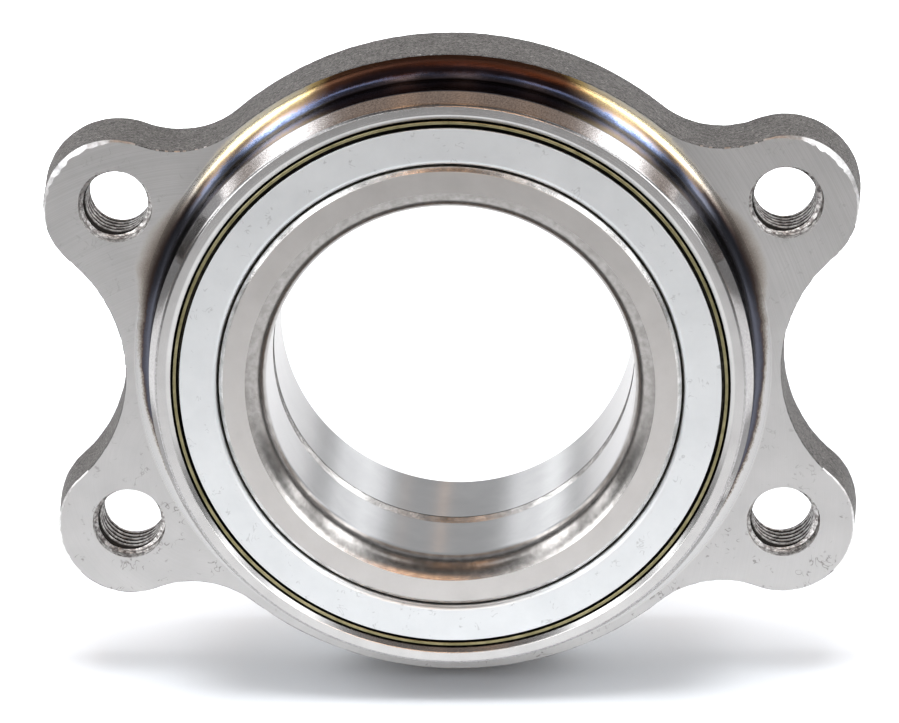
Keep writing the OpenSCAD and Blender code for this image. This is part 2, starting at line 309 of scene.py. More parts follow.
# the turned middle: front boss, end face, seal seats, raceways and rear boss in one section
groove_r, groove_at, groove_y, groove_steps = 5.889, 39.851, 8.353, 24
seat_r, seat_depth, retain_r, land_r = 45.762, 4.3, 45.362, 42.512
groove_lip = math.degrees(math.asin((retain_r - groove_at) / groove_r))
groove_lip_y = groove_y + groove_r * math.cos(math.radians(groove_lip))
groove_land = math.degrees(math.asin((land_r - groove_at) / groove_r))
land_edge_y = groove_y - groove_r * math.cos(math.radians(groove_land))
groove_turn = 180 - groove_lip - groove_land
run_out_r, run_out, run_out_turn = 53.4, 4.0, 30
inner_round = (run_out_r - run_out / 2 - boss_r) * 2
inner_round_y = front_y - run_out + (run_out - inner_round) * math.cos(
    math.radians(run_out_turn))
front_end = -half_width
rear_seat_break, rear_boss_break = 0.9, 1.2
boss_from_r, seam_w = 48.3, 0.6
middle = bmesh.new()
section(middle, (run_out_r, front_y), (
    # the ground fillet in two rounds, and the boss
    (run_out_r, front_y - run_out, run_out_turn, 8),
    (boss_r + inner_round, inner_round_y, 90 - run_out_turn, 12),
    (boss_r, front_end + 3.6),
    # its lead-in cone, with the end face's worn edge
    (boss_r - 1.1, front_end + 0.7), (boss_r - 1.3, front_end + 0.2), (boss_r - 1.7, front_end),
    # the front seal seat with its chamfer
    (seat_r + 1.15, front_end), (seat_r + 0.95, front_end + 0.1),
    (seat_r + 0.4, front_end + 0.55), (seat_r, front_end + 1.1),
    (seat_r, front_end + seat_depth), (retain_r, front_end + seat_depth),
    # the two raceways and the land between them
    (retain_r, -groove_lip_y), (groove_at, -groove_y, groove_turn, groove_steps),
    (land_r, land_edge_y), (groove_at, groove_y, groove_turn, groove_steps),
    # the rear seal seat, end face and boss
    (retain_r, half_width - seat_depth), (seat_r, half_width - seat_depth),
    (seat_r, half_width - rear_seat_break), (seat_r + rear_seat_break, half_width),
    (rear_boss_r - rear_boss_break, half_width), (rear_boss_r, half_width - rear_boss_break),
    (rear_boss_r, back_y + rear_fillet),
    (rear_boss_r + rear_fillet, back_y + rear_fillet, 90, 16),
))
soften(middle, 0.1, 15.0)
revolve(middle)
for face in middle.faces:
    centre = face.calc_center_median() / mm
    out = math.hypot(centre.x, centre.z)
    face.material_index = TURNED
    if out > boss_from_r and centre.y < front_y:
        face.material_index = BOSS
    # painted shade in the gap between the front seal seat and its case
    elif out < seat_r + seam_w and centre.y < front_end + seat_depth:
        face.material_index = SEAT_SHADE
add_copy(ring, middle)
hole = tapped_hole()
for x in (-ear_x, ear_x):
    for z in (-ear_z, ear_z):
        add_copy(ring, hole, x, z)
middle.free()
hole.free()

# the milled face and the forged back, flat between the outline, the holes and the boss
bmesh.ops.remove_doubles(ring, verts=ring.verts[:], dist=2e-7)
for y, slot in ((front_y, MILLED), (back_y, FORGED)):
    rims = [e for e in ring.edges
            if e.is_boundary and all(abs(v.co.y / mm - y) < 1e-3 for v in e.verts)]
    filled = bmesh.ops.triangle_fill(
        ring, use_beauty=True, use_dissolve=False, edges=rims, normal=(0, math.copysign(1, y), 0))
    for face in filled["geom"]:
        if isinstance(face, bmesh.types.BMFace):
            face.material_index = slot


def fill_sockets(tree, made, values):
    """Links each value that is a socket to the node's input, and writes the others there."""
    for socket, value in values.items():
        if isinstance(value, bpy.types.NodeSocket):
            tree.links.new(value, made.inputs[socket])
        else:
            made.inputs[socket].default_value = value


def add_node(tree, kind, inputs=None, **settings):
    """Adds a node of a kind, with its settings and inputs."""
    made = tree.nodes.new("ShaderNode" + kind)
    for name, value in settings.items():
        setattr(made, name, value)
    fill_sockets(tree, made, inputs or {})
    return made


def sum_of(tree, operation, a, b=0.0, c=0.0, clamp=False):
    """The result of a sum of two or three numbers."""
    return add_node(
        tree, "Math", {0: a, 1: b, 2: c}, operation=operation, use_clamp=clamp).outputs[0]


def product(tree, a, b, clamp=False):
    return sum_of(tree, "MULTIPLY", a, b, clamp=clamp)


def difference(tree, a, b, clamp=False):
    return sum_of(tree, "SUBTRACT", a, b, clamp=clamp)


def band(tree, value, stops):
    """A colour or grey that changes with value through (place, colour) stops."""
    ramp = add_node(tree, "ValToRGB", {"Fac": value})
    elements = ramp.color_ramp.elements
    while len(elements) < len(stops):
        elements.new(0.5)
    for element, (place, colour) in zip(elements, stops):
        element.position = place
        element.color = (*colour, 1) if isinstance(colour, tuple) else (*(colour,) * 3, 1)
    return ramp.outputs["Color"]


def blend_colour(tree, amount, a, b, kind="MIX"):
    """The first colour where amount is 0 and the second where it is 1."""
    made = add_node(tree, "Mix", {0: amount}, data_type="RGBA", blend_type=kind)
    colours = {6: a, 7: b}
    fill_sockets(tree, made, {
        socket: (*colour, 1) if isinstance(colour, tuple) else colour
        for socket, colour in colours.items()})
    return made.outputs[2]


def new_group(name, inputs, outputs):
    """A node group with named number inputs, and outputs given as name and socket type."""
    tree = bpy.data.node_groups.new(name, "ShaderNodeTree")
    for socket, value in inputs:
        made = tree.interface.new_socket(socket, in_out="INPUT", socket_type="NodeSocketFloat")
        made.default_value = value
    for socket, kind in outputs:
        tree.interface.new_socket(socket, in_out="OUTPUT", socket_type=kind)
    return tree, tree.nodes.new("NodeGroupInput").outputs, tree.nodes.new("NodeGroupOutput").inputs


def placed_group(tree, group, values):
    """Puts a node group in a material; returns its outputs."""
    made = tree.nodes.new("ShaderNodeGroup")
    made.node_tree = group
    fill_sockets(tree, made, values)
    return made.outputs


def finish(name, metallic=1.0, roughness=0.3):
    """A new material; returns it with its node tree and its shader's inputs."""
    material = bpy.data.materials.new(name)
    material.use_nodes = True
    shader = material.node_tree.nodes["Principled BSDF"].inputs
    shader["Metallic"].default_value = metallic
    shader["Roughness"].default_value = roughness
    return material, material.node_tree, shader


def object_place(tree):
    return add_node(tree, "TexCoord").outputs["Object"]


def object_mm(tree):
    """The place on the object, in millimetres."""
    return add_node(tree, "VectorMath", {0: object_place(tree), 1: (1000, 1000, 1000)},
                    operation="MULTIPLY").outputs[0]


# tool marks that run round an axis: a noise drawn out along the turning direction
turning_marks, given, put_out = new_group(
    "turning_marks",
    (("Marks per mm", 6.0), ("Reach", 3.0), ("Shift", 0.0), ("Centre x", 0.0), ("Centre z", 0.0)),
    (("Marks", "NodeSocketFloat"), ("Radius", "NodeSocketFloat"), ("Upward", "NodeSocketFloat")))
tree = turning_marks
centre = add_node(tree, "CombineXYZ", {0: given["Centre x"], 2: given["Centre z"]}).outputs[0]
from_centre = add_node(
    tree, "VectorMath", {0: object_place(tree), 1: centre}, operation="SUBTRACT").outputs[0]
place = add_node(tree, "SeparateXYZ", {0: from_centre}).outputs
radius = sum_of(tree, "SQRT", sum_of(
    tree, "ADD", product(tree, place[0], place[0]), product(tree, place[2], place[2])))
radius_mm = product(tree, radius, 1000)
cone_share = 0.71
level = sum_of(tree, "ADD", radius_mm, product(tree, product(tree, place[1], 1000), cone_share))
sideways, upwards = (sum_of(tree, "DIVIDE", place[axis], radius) for axis in (0, 2))
marks_place = add_node(tree, "CombineXYZ", {
    0: product(tree, sideways, given["Reach"]),
    1: sum_of(tree, "ADD", product(tree, level, given["Marks per mm"]), given["Shift"]),
    2: product(tree, upwards, given["Reach"])}).outputs[0]
marks = add_node(tree, "TexNoise", {
    "Vector": marks_place, "Scale": 1.0, "Detail": 3.0, "Roughness": 0.6}).outputs["Fac"]
tree.links.new(marks, put_out["Marks"])
tree.links.new(radius_mm, put_out["Radius"])
tree.links.new(upwards, put_out["Upward"])

# blotches and a finer grain, from 0 to 1
mottle, given, put_out = new_group(
    "mottle", (("Per mm", 0.5), ("Fine per mm", 4.0), ("Sharpness", 3.0)),
    (("Blotches", "NodeSocketFloat"), ("Grain", "NodeSocketFloat")))
tree = mottle
place_mm = object_mm(tree)
coarse = add_node(tree, "TexNoise", {
    "Vector": place_mm, "Scale": given["Per mm"], "Detail": 4.0, "Roughness": 0.6}).outputs["Fac"]
fine = add_node(tree, "TexNoise", {
    "Vector": place_mm, "Scale": given["Fine per mm"], "Detail": 3.0,
    "Roughness": 0.7}).outputs["Fac"]
centred = product(tree, difference(tree, coarse, 0.5), given["Sharpness"])
tree.links.new(sum_of(tree, "ADD", centred, 0.5, clamp=True), put_out["Blotches"])
tree.links.new(fine, put_out["Grain"])

# short curved scratches, scattered: where a twisted noise crosses its middle value
scratches, given, put_out = new_group(
    "scratches", (("Per mm", 0.5), ("Fineness", 30.0), ("Share", 0.6)),
    (("Scratched", "NodeSocketFloat"),))
tree = scratches
place_mm = object_mm(tree)
curls = add_node(tree, "TexNoise", {
    "Vector": place_mm, "Scale": given["Per mm"], "Detail": 1.0, "Distortion": 1.5}).outputs["Fac"]
places = add_node(tree, "TexNoise", {
    "Vector": place_mm, "Scale": product(tree, given["Per mm"], 0.8), "Detail": 2.0,
    "Roughness": 0.7}).outputs["Fac"]
off_line = sum_of(tree, "ABSOLUTE", difference(tree, curls, 0.5))
line = difference(tree, 1.0, product(tree, off_line, given["Fineness"]), clamp=True)
here = product(tree, difference(tree, places, given["Share"]), 20.0, clamp=True)
tree.links.new(product(tree, line, here), put_out["Scratched"])

# temper colours from hardening the raceway: blue in the fillet, then a brown border that
# fades to straw and grey; it is wide and golden near the top, where the thin rim got hot
# right to its edge, smoky at the sides and narrow at the bottom. The wide dark smoky
# border beside the boss at the sides is partly painted shade.
temper, given, put_out = new_group(
    "temper_colours", (("Radius", 50.0), ("Upward", 0.0), ("Unevenness", 0.5)),
    (("Colour", "NodeSocketColor"), ("Tinted", "NodeSocketFloat")))
tree = temper
bare, darkest = (0.50, 0.50, 0.50), (0.035, 0.035, 0.045)
widest_blue, widest_brown, wander = 2.0, 20.0, 1.6
upward = sum_of(tree, "MULTIPLY_ADD", given["Upward"], 0.5, 0.5)
beyond = sum_of(tree, "MULTIPLY_ADD", difference(tree, given["Unevenness"], 0.5), wander,
                difference(tree, given["Radius"], boss_r))
blue_w = product(tree, widest_blue, band(tree, upward, (
    (0.0, 0.5), (0.3, 0.7), (0.5, 0.9), (0.70, 0.9), (0.80, 0.55), (0.92, 0.5), (1.0, 0.65))))
brown_w = product(tree, widest_brown, band(tree, upward, (
    (0.0, 0.03), (0.50, 0.035), (0.60, 0.08), (0.66, 0.2), (0.72, 0.2), (0.79, 0.10),
    (0.88, 0.16), (0.95, 0.16), (1.0, 1.0))))
in_blue = difference(tree, 1.0, sum_of(tree, "DIVIDE", beyond, blue_w), clamp=True)
in_brown = sum_of(tree, "DIVIDE", difference(tree, beyond, blue_w), brown_w, clamp=True)
heat = product(tree, sum_of(tree, "ADD", difference(tree, 1.0, in_brown), in_blue), 0.5)
golden = band(tree, heat, (
    (0.0, bare), (0.12, (0.56, 0.48, 0.30)), (0.27, (0.46, 0.33, 0.12)),
    (0.38, (0.065, 0.031, 0.016)), (0.47, (0.038, 0.016, 0.011)), (0.56, (0.09, 0.08, 0.12)),
    (0.70, (0.13, 0.16, 0.28)), (0.88, (0.06, 0.07, 0.11)), (1.0, darkest)))
shoulder = band(tree, heat, (
    (0.0, bare), (0.12, (0.78, 0.73, 0.60)), (0.28, (0.72, 0.60, 0.34)),
    (0.42, (0.42, 0.30, 0.18)), (0.52, (0.32, 0.30, 0.36)), (0.62, (0.20, 0.25, 0.40)),
    (0.80, (0.07, 0.09, 0.15)), (1.0, darkest)))
# temper smoke, partly painted shade: the face darkens towards the boss at the sides
smoky_and_shade = band(tree, heat, (
    (0.0, bare), (0.15, (0.38, 0.36, 0.335)), (0.30, (0.20, 0.175, 0.155)),
    (0.45, (0.07, 0.05, 0.045)), (0.54, (0.06, 0.06, 0.075)), (0.72, (0.085, 0.09, 0.115)),
    (1.0, (0.045, 0.045, 0.055))))
film = blend_colour(tree, band(tree, upward, ((0.79, 0.0), (0.88, 1.0))), smoky_and_shade, shoulder)
film = blend_colour(tree, band(tree, upward, ((0.92, 0.0), (0.965, 1.0))), film, golden)
tree.links.new(film, put_out["Colour"])
tree.links.new(band(tree, heat, ((0.0, 0.0), (0.10, 1.0))), put_out["Tinted"])


def mottled(tree, per_mm, fine_per_mm, sharpness):
    return placed_group(tree, mottle, {
        "Per mm": per_mm, "Fine per mm": fine_per_mm, "Sharpness": sharpness})


def turned(tree, per_mm, reach, shift, centre_x=0.0, centre_z=0.0):
    return placed_group(tree, turning_marks, {
        "Marks per mm": per_mm, "Reach": reach, "Shift": shift,
        "Centre x": centre_x, "Centre z": centre_z})


def scratched(tree, per_mm, fineness, share):
    return placed_group(tree, scratches, {
        "Per mm": per_mm, "Fineness": fineness, "Share": share})["Scratched"]


def tempered(tree, marks):
    """The temper colours by the place that the tool marks give, with an uneven border."""
    spots = mottled(tree, 0.3, 4.0, 2.0)
    uneven = sum_of(
        tree, "MULTIPLY_ADD", spots["Blotches"], 0.3, product(tree, spots["Grain"], 0.7))
    return placed_group(tree, temper, {
        "Radius": marks["Radius"], "Upward": marks["Upward"], "Unevenness": uneven})


def paint(tree, shader, colour):
    tree.links.new(colour, shader["Base Color"])


def roughen(tree, shader, height, strength, depth_mm):
    """Raises the surface by a pattern, as deep as the real marks or grain."""
    bump = add_node(tree, "Bump", {
        "Height": height, "Strength": strength, "Distance": depth_mm * mm})
    tree.links.new(bump.outputs[0], shader["Normal"])


def mottled_finish(name, roughness, pattern, dark, light, grain=None, metallic=1.0):
    """A plain finish with blotches between two colours. The pattern is what mottled takes,
    and grain is the strength and depth in millimetres of a fine roughness."""
    material, tree, shader = finish(name, metallic, roughness)
    spots = mottled(tree, *pattern)
    paint(tree, shader, blend_colour(tree, spots["Blotches"], dark, light))
    if grain:
        roughen(tree, shader, spots["Grain"], *grain)
    return material


forged_skin, tree, shader = finish("forged_skin", metallic=0.5, roughness=0.55)
spots = mottled(tree, 0.3, 1.1, 2.5)
scale_place = add_node(tree, "Mapping", {
    "Vector": object_place(tree), "Scale": (2300, 3100, 2300)}).outputs[0]
grain = add_node(tree, "TexNoise", {
    "Vector": scale_place, "Scale": 1.0, "Detail": 3.0, "Roughness": 0.6,
    "Distortion": 1.2}).outputs["Fac"]
colour = blend_colour(tree, spots["Blotches"], (0.11, 0.108, 0.106), (0.165, 0.162, 0.159))
pits, peaks = (band(tree, grain, stops) for stops in (
    ((0.40, 1.0), (0.54, 0.0)), ((0.60, 0.0), (0.72, 1.0))))
colour = blend_colour(tree, pits, colour, (0.035, 0.034, 0.033))
colour = blend_colour(tree, peaks, colour, (0.36, 0.355, 0.35))
paint(tree, shader, colour)
roughen(tree, shader, sum_of(tree, "ADD", grain, product(tree, spots["Grain"], 1.5)), 1.0, 0.35)

milled_face, tree, shader = finish("milled_face", roughness=0.33)
round_axis = turned(tree, 6.0, 14.0, 3.0)
cutter = turned(tree, 6.5, 2.0, 5.0, centre_x=-0.040, centre_z=-0.020)
spots = mottled(tree, 0.12, 1.6, 2.0)
tint = tempered(tree, round_axis)
grey = blend_colour(tree, spots["Blotches"], (0.43, 0.43, 0.43), (0.49, 0.49, 0.49))
clear = band(tree, sum_of(tree, "MULTIPLY_ADD", round_axis["Upward"], 0.5, 0.5), (
    (0.45, 0.1), (0.7, 0.33)))
lined = product(tree, clear, band(tree, cutter["Marks"], ((0.40, 1.0), (0.58, 0.0))))
grey = blend_colour(tree, lined, grey, (0.33, 0.328, 0.325))
lower_down = band(tree, product(tree, round_axis["Upward"], -1.0), ((0.2, 0.25), (0.45, 0.8)))
marred = product(tree, scratched(tree, 0.45, 26.0, 0.58), lower_down)
grey = blend_colour(tree, marred, grey, (0.16, 0.15, 0.145))
paint(tree, shader, blend_colour(tree, tint["Tinted"], grey, tint["Colour"]))
height = sum_of(tree, "ADD", cutter["Marks"], product(tree, round_axis["Marks"], 0.3))
roughen(tree, shader, height, 0.25, 0.06)

ground_boss, tree, shader = finish("ground_boss", roughness=0.17)
lines = turned(tree, 8.0, 5.0, 9.0)
spots = mottled(tree, 0.3, 4.0, 2.0)
tint = tempered(tree, lines)
cone_colour = blend_colour(tree, band(tree, spots["Grain"], ((0.35, 0.0), (0.65, 1.0))),
                           (0.28, 0.275, 0.275), (0.50, 0.495, 0.50))
on_cone = band(tree, difference(tree, 50.6, lines["Radius"]), ((0.60, 0.0), (0.68, 1.0)))
paint(tree, shader, blend_colour(tree, on_cone, tint["Colour"], cone_colour))
out = sum_of(tree, "DIVIDE", difference(tree, lines["Radius"], boss_r), run_out_r - boss_r)
gloss = band(tree, out, ((0.0, 0.13), (0.6, 0.14), (0.85, 0.2), (1.0, 0.33)))
tree.links.new(gloss, shader["Roughness"])
height = sum_of(tree, "MULTIPLY_ADD", spots["Grain"], 0.3, lines["Marks"])
roughen(tree, shader, height, 0.12, 0.1)

turned_steel, tree, shader = finish("turned_steel", roughness=0.22)
spots = mottled(tree, 0.2, 3.0, 2.0)
paint(tree, shader, blend_colour(
    tree, spots["Blotches"], (0.50, 0.498, 0.495), (0.58, 0.578, 0.575)))
roughen(tree, shader, turned(tree, 9.0, 3.0, 1.0)["Marks"], 0.15, 0.08)

cut_thread, tree, shader = finish("cut_thread", roughness=0.28)
spots = mottled(tree, 1.3, 3.0, 6.0)
colour = blend_colour(tree, spots["Blotches"], (0.30, 0.28, 0.275), (0.95, 0.94, 0.93))
place = add_node(tree, "SeparateXYZ", {0: object_place(tree)}).outputs
from_hole = [difference(tree, sum_of(tree, "ABSOLUTE", place[axis]), middle_mm * mm)
             for axis, middle_mm in ((0, ear_x), (2, ear_z))]
hole_r_cm = product(tree, 100.0, sum_of(tree, "SQRT", sum_of(
    tree, "ADD", *(product(tree, v, v) for v in from_hole))))
# painted shade: the thread's roots, deep in the hole behind the mouth, are darkened to near black
root = band(tree, hole_r_cm, ((0.52, 0.45), (0.542, 1.0)))
mouth_end_y = front_y + 2.85
behind_mouth = sum_of(tree, "GREATER_THAN", place[1], mouth_end_y * mm)
root_shade = product(tree, root, behind_mouth)
paint(tree, shader, blend_colour(tree, root_shade, colour, (0.02, 0.019, 0.018)))
roughen(tree, shader, spots["Grain"], 0.7, 0.2)

# partly painted highlight: a pale steel finish, lighter than the face, for the edge break and
# burrs
edge_glint = mottled_finish(
    "edge_glint", 0.3, (0.8, 5.0, 4.0), (0.55, 0.55, 0.55), (0.85, 0.85, 0.86), grain=(0.4, 0.1))
# painted shade: a near-black finish for the crevices and gaps between parts, where shade falls
crevice_shade = mottled_finish(
    "crevice_shade", 0.35, (0.8, 5.0, 3.0), (0.015, 0.014, 0.012), (0.06, 0.055, 0.045))

finish_piece(
    ring, "forged_outer_ring", "flange",
    [forged_skin, milled_face, ground_boss, turned_steel, cut_thread, edge_glint, crevice_shade],
    ["outer_ring"])


# ---- Seal cases ----------------------------------------------------------------------
# A cup pressed from thin sheet, phosphated to an olive sheen, and driven into the outer
# ring's seat at each end. Its web carries the rubber lips; its inside is painted dark, as shade.
def turned_piece(start, moves, edge_break, end):
    """A closed turned section, its corners broken, revolved. It is drawn for the rear end,
    and end is -1 for its mirror image at the front."""
    bm = bmesh.new()
    section(bm, start, (*moves, start))
    bmesh.ops.remove_doubles(bm, verts=bm.verts[:], dist=1e-8)
    soften(bm, edge_break)
    revolve(bm)
    if end < 0:
        bmesh.ops.scale(bm, vec=(1, -1, 1), verts=bm.verts[:])
    return bm


ends = ((-1, "front"), (1, "rear"))
case_r, case_mouth, case_edge = 45.212, 19.0, 40.6
web_back, web_front = 15.8, 16.35
case_sheet = mottled_finish(
    "case_sheet", 0.32, (0.5, 3.0, 3.0), (0.17, 0.155, 0.08), (0.30, 0.275, 0.16))
for end, word in ends:
    case = turned_piece((seat_r, case_mouth), (
        (case_r, case_mouth), (case_r, web_front), (case_edge, web_front),
        (case_edge, web_back), (seat_r, web_back)), 0.12, end)
    for face in case.faces:
        # painted shade: all but the case's end face take the near-black finish of a recess
        inside = abs(face.calc_center_median().y) < (case_mouth - 0.15) * mm
        face.material_index = 1 if inside else 0
    finish_piece(case, "pressed_seal_case_" + word, "flange",
                 [case_sheet, crevice_shade], ["seal_case_" + word])

# ---- Seal lips -----------------------------------------------------------------------
# Nitrile rubber bonded round the edge of each case's web: one lip on the slinger's
# sleeve and one against its disc.
lip_t, lip_face, sleeve_lip_r = 0.45, 18.55, 39.15
foot = case_edge + 2 * lip_t
face_r = foot + lip_face - web_front
seal_rubber = mottled_finish(
    "seal_rubber", 0.55, (0.6, 6.0, 2.0), (0.012, 0.012, 0.013), (0.024, 0.024, 0.025),
    grain=(0.2, 0.1), metallic=0.0)
for end, word in ends:
    lip = turned_piece((case_edge, web_back), (
        (case_edge, web_front), (foot + lip_t, web_front), (face_r + lip_t, lip_face),
        (face_r, lip_face), (foot - lip_t, web_front + lip_t),
        (case_edge - lip_t, web_front + lip_t), (sleeve_lip_r, web_front + 2 * lip_t),
        (sleeve_lip_r, web_front + lip_t), (case_edge - 2 * lip_t, web_back)), 0.08, end)
    finish_piece(lip, "rubber_seal_lip_" + word, "flange",
                 [seal_rubber], ["seal_lip_" + word])

# ---- Slingers ------------------------------------------------------------------------
# A stainless angle ring pressed on each inner ring: its disc closes the seal's mouth and
# throws water off. The thin sheet is slightly dented and wavy from pressing.
seal_land_r, sleeve_r, bend_r, disc_r = 38.4, 39.0, 39.4, 44.66
sleeve_end, disc_back, disc_face = 15.9, 18.7, 19.3
stainless_sheet, tree, shader = finish("stainless_sheet", roughness=0.38)
spots = mottled(tree, 0.13, 0.5, 2.0)
colour = blend_colour(tree, spots["Blotches"], (0.59, 0.615, 0.63), (0.67, 0.695, 0.71))
marred = product(tree, scratched(tree, 0.5, 24.0, 0.6), 0.5)
paint(tree, shader, blend_colour(tree, marred, colour, (0.28, 0.29, 0.30)))
height = sum_of(tree, "ADD", product(tree, spots["Grain"], 1.0),
                product(tree, turned(tree, 3.0, 6.0, 5.0)["Marks"], 0.05))
roughen(tree, shader, height, 0.12, 0.3)
for end, word in ends:
    slinger = turned_piece((seal_land_r, sleeve_end), (
        (sleeve_r, sleeve_end), (sleeve_r, disc_back - 0.4), (bend_r, disc_back),
        (disc_r, disc_back), (disc_r, disc_face), (bend_r, disc_face),
        (bend_r, disc_face - 1, 90, 10)), 0.1, end)
    finish_piece(slinger, "pressed_slinger_" + word, "hub_rings",
                 [stainless_sheet], ["seal_slinger_" + word])

# ---- Encoder ring --------------------------------------------------------------------
# Rubber filled with magnetic powder, moulded and bonded on the face of the rear slinger
# and magnetised in poles, which the wheel speed sensor reads as they pass.
encoder_r, encoder_face = 39.6, 19.45
encoder_rubber = mottled_finish(
    "encoder_rubber", 0.5, (0.4, 7.0, 2.0), (0.03, 0.028, 0.026), (0.05, 0.046, 0.043),
    grain=(0.15, 0.05), metallic=0.0)
encoder = turned_piece((encoder_r, disc_face), (
    (disc_r, disc_face), (disc_r, encoder_face), (encoder_r, encoder_face)), 0.04, 1)
finish_piece(encoder, "moulded_encoder_ring", "hub_rings",
             [encoder_rubber], ["encoder_ring"])

# ---- Inner rings ---------------------------------------------------------------------
# Two rings of through-hardened bearing steel with ground bores, raceways, lands and
# faces. The front one's bore opens in a rounded lead-in that keeps its dark hardening skin.
LAND, LEAD_IN, BORE, FACE, GROOVE_SHADE = range(5)
ring_land = mottled_finish(
    "ring_land", 0.2, (0.5, 3.5, 4.0), (0.52, 0.515, 0.505), (0.84, 0.83, 0.82), grain=(0.2, 0.1))
lead_in_skin = mottled_finish(
    "lead_in_skin", 0.22, (0.9, 6.0, 3.0), (0.28, 0.27, 0.26), (0.40, 0.39, 0.38),
    grain=(0.15, 0.04))

ground_bore, tree, shader = finish("ground_bore", roughness=0.2)
spots = mottled(tree, 0.1, 3.0, 2.0)
paint(tree, shader, blend_colour(
    tree, spots["Blotches"], (0.33, 0.335, 0.345), (0.40, 0.405, 0.415)))
roughen(tree, shader, turned(tree, 12.0, 8.0, 7.0)["Marks"], 0.08, 0.05)

ring_face = mottled_finish(
    "ring_face", 0.32, (0.15, 0.9, 2.0), (0.46, 0.45, 0.44), (0.53, 0.52, 0.51), grain=(0.12, 0.2))

bore_r, low_r, joint_r, joint_l = 30.5, 36.1, 31.9, 1.4
race_at, race_y, race_r = 40.261, 8.055, 5.889
race_low = math.degrees(math.acos((race_at - low_r) / race_r))
race_high = math.degrees(math.acos((race_at - seal_land_r) / race_r))
race_low_y = race_y - race_r * math.sin(math.radians(race_low))
ring_back = (
    (low_r - 0.5, 0), (low_r, 0.5), (low_r, race_low_y),
    (race_at, race_y, -(race_low + race_high), 28),
    (seal_land_r, half_width - 1), (seal_land_r - 0.3, half_width - 0.7),
    (seal_land_r - 1, half_width))
mouth_r, lead_at, lead_l, rear_break = 33.8, 35.083, 4.4, 1.1
lead_from, land_end = 14.9, 18
lead_turn = math.degrees(math.acos((lead_at - mouth_r) / (lead_at - bore_r)))
mouths = {
    "front": ((mouth_r, half_width), (lead_at, half_width - lead_l, lead_turn, 14)),
    "rear": ((bore_r + rear_break, half_width), (bore_r, half_width - rear_break))}
for end, word in ends:
    inner = turned_piece(
        (joint_r, 0), (*ring_back, *mouths[word], (bore_r, joint_l)), 0.08, end)
    for face in inner.faces:
        centre = face.calc_center_median() / mm
        out, along = math.hypot(centre.x, centre.z), abs(centre.y)
        in_bore = out < bore_r + 0.1
        face.material_index = LAND
        # painted shade in the bore's joint groove and in the crevice under the slinger's bend
        if in_bore and -0.07 < along - joint_l < 0.08:
            face.material_index = GROOVE_SHADE
        elif in_bore and along > 1:
            face.material_index = BORE
        elif end < 0 and out < mouth_r + 0.2 and lead_from < along < half_width - 0.02:
            face.material_index = LEAD_IN
        elif along > half_width - 0.05 and out < seal_land_r - 0.9:
            face.material_index = FACE
        elif out > seal_land_r - 0.3 and along > land_end:
            face.material_index = GROOVE_SHADE
    finish_piece(inner, "ground_inner_ring_" + word, "hub_rings",
                 [ring_land, lead_in_skin, ground_bore, ring_face, crevice_shade],
                 ["inner_ring_" + word])

# ---- Balls ---------------------------------------------------------------------------
# Two rows of chrome steel balls, lapped to a mirror, that run between the raceways. They
# keep their CAD shape.
ball_steel = mottled_finish(
    "ball_steel", 0.08, (0.3, 6.0, 1.5), (0.72, 0.72, 0.73), (0.78, 0.78, 0.79))

# ---- Cages ---------------------------------------------------------------------------
# Snap cages moulded in glass-filled nylon, one to a row, pushed over the balls. They keep
# their CAD shape.
cage_nylon = mottled_finish(
    "cage_nylon", 0.5, (0.5, 5.0, 2.0), (0.035, 0.035, 0.038), (0.055, 0.055, 0.06),
    grain=(0.2, 0.1), metallic=0.0)
for name, cad_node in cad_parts.items():
    if name.startswith(("ball_", "cage_")):
        cad_node.data.materials.clear()
        cad_node.data.materials.append(ball_steel if name.startswith("ball_") else cage_nylon)

# ---- Floor, light and backdrop -------------------------------------------------------
# Not part of the object: a pale floor that keeps the shadow, a room with a light wall
# behind, soft lamps at its sides, a dim ceiling with small warm lamps, and a lamp above.
floor_mesh = bpy.data.meshes.new("floor")
floor_bm = bmesh.new()
bmesh.ops.create_grid(floor_bm, x_segments=1, y_segments=1, size=3)
floor_bm.to_mesh(floor_mesh)
floor_bm.free()
floor = bpy.data.objects.new("floor", floor_mesh)
floor.location.z = cad_box[0].z
bpy.context.scene.collection.objects.link(floor)
pale_floor, tree, shader = finish("pale_floor", metallic=0.0, roughness=0.8)
shader["Emission Strength"].default_value = 1.0
rays = add_node(tree, "LightPath").outputs
place = add_node(tree, "SeparateXYZ", {0: object_place(tree)}).outputs
reach = sum_of(tree, "SQRT", sum_of(
    tree, "ADD", product(tree, place[0], place[0]), product(tree, place[1], place[1])))
seen = band(tree, reach, ((0.05, 0.0), (0.12, 0.08), (0.20, 0.5), (0.30, 1.0)))
in_front = product(tree, place[1], -1.0)
mirrored = band(tree, in_front, (
    (0.02, 0.26), (0.07, 0.11), (0.18, 0.22), (0.28, 0.09), (0.34, 0.0)))
glow = blend_colour(tree, rays["Is Glossy Ray"], (0, 0, 0), mirrored)
glow = blend_colour(tree, rays["Is Camera Ray"], glow, seen)
tree.links.new(glow, shader["Emission Color"])
along = sum_of(tree, "ADD", place[1], 0.6, clamp=True)
sheet = band(tree, along, (
    (0.0, 0.10), (0.27, 0.18), (0.42, 0.47), (0.57, 0.72), (0.70, 0.62), (1.0, 0.65)))
sheet = blend_colour(tree, rays["Is Glossy Ray"], (0.82, 0.84, 0.86), sheet)
paint(tree, shader, blend_colour(tree, 1.0, sheet, (0.97, 1.0, 1.03), "MULTIPLY"))
floor_mesh.materials.append(pale_floor)

world = bpy.data.worlds.new("studio")
bpy.context.scene.world = world
world.use_nodes = True
tree = world.node_tree
background = tree.nodes["Background"].inputs
rays = add_node(tree, "LightPath").outputs
looking = add_node(tree, "TexCoord").outputs["Generated"]
facing_x, facing_y, facing_z = add_node(tree, "SeparateXYZ", {0: looking}).outputs


